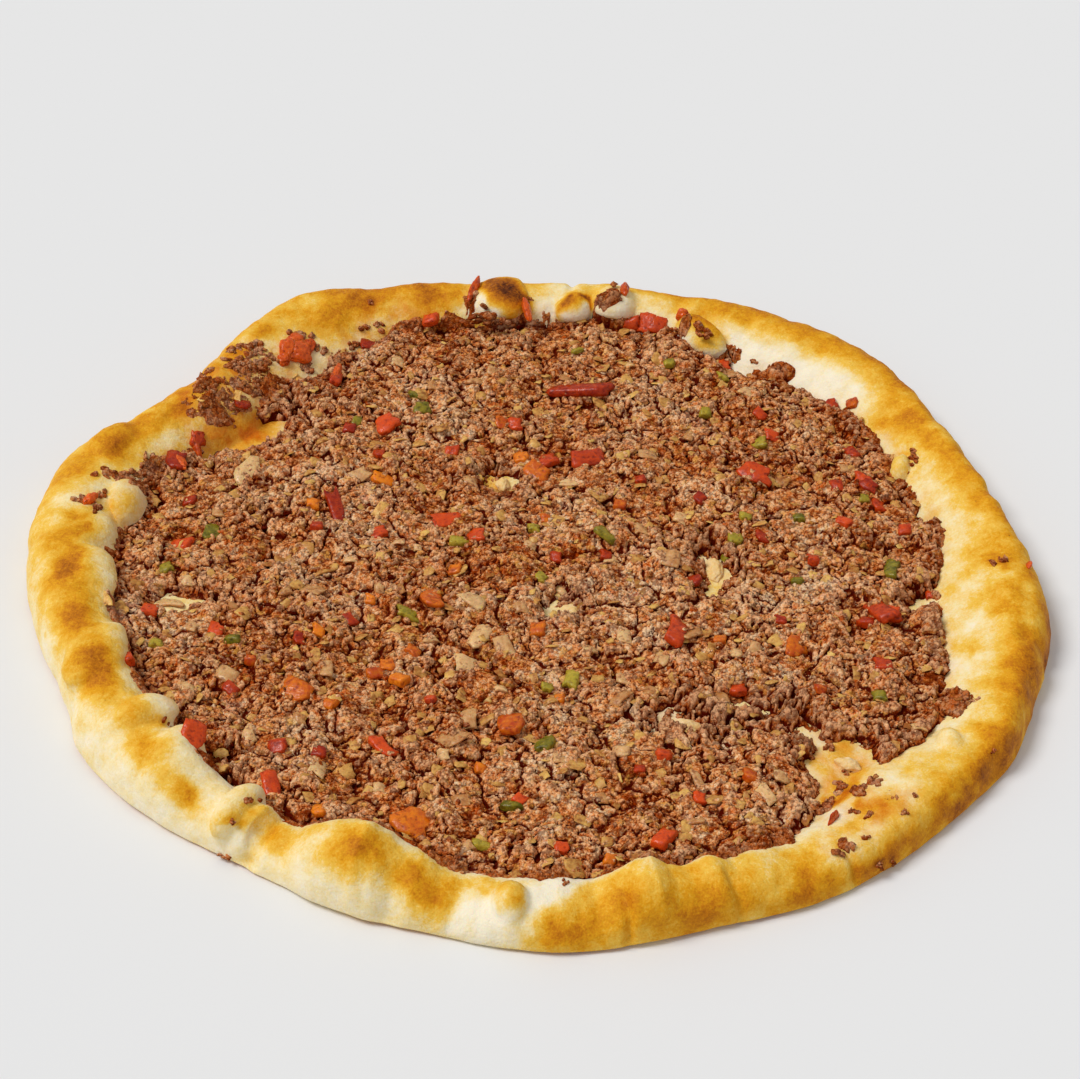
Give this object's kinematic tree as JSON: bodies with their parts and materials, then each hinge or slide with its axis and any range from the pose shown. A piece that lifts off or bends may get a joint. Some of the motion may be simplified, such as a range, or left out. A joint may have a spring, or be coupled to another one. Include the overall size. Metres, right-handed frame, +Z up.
{
  "type": "lahmacun",
  "caption": "Round thin flatbread with a raised, toasted and blistered rim, spread with crumbly minced meat, diced pepper, tomato and onion.",
  "frame": {"origin": "middle of the plan's bounding box, on the face that the bread rests on", "axes": "+X across the widest part of the bread, +Y towards its far side, +Z up out of the topping"},
  "size_m": [0.283, 0.2708, 0.0195],
  "materials": {
    "bread_crust": "baked dough: pale cream to golden brown, matt with a faint floury sheen",
    "minced_topping": "cooked minced meat: crumbly, brown, slightly moist",
    "red_pepper": "roasted red pepper and tomato, moist skin",
    "orange_pepper": "roasted pepper turned orange, moist skin",
    "green_pepper": "roasted green pepper, moist skin",
    "onion": "soft cooked onion, translucent beige"
  },
  "bodies": {
    "root": {"flatbread": "bread_crust", "mince_layer": "minced_topping", "red_pepper_1": "red_pepper", "red_pepper_2": "red_pepper", "red_pepper_3": "orange_pepper", "red_pepper_4": "red_pepper", "red_pepper_5": "orange_pepper", "red_pepper_6": "red_pepper", "tomato_1": "red_pepper", "green_pepper_1": "green_pepper", "green_pepper_2": "green_pepper", "onion_1": "onion", "onion_2": "onion", "tomato_lump_back_left": "orange_pepper", "mince_lump_back": "minced_topping"}
  },
  "joints": []
}
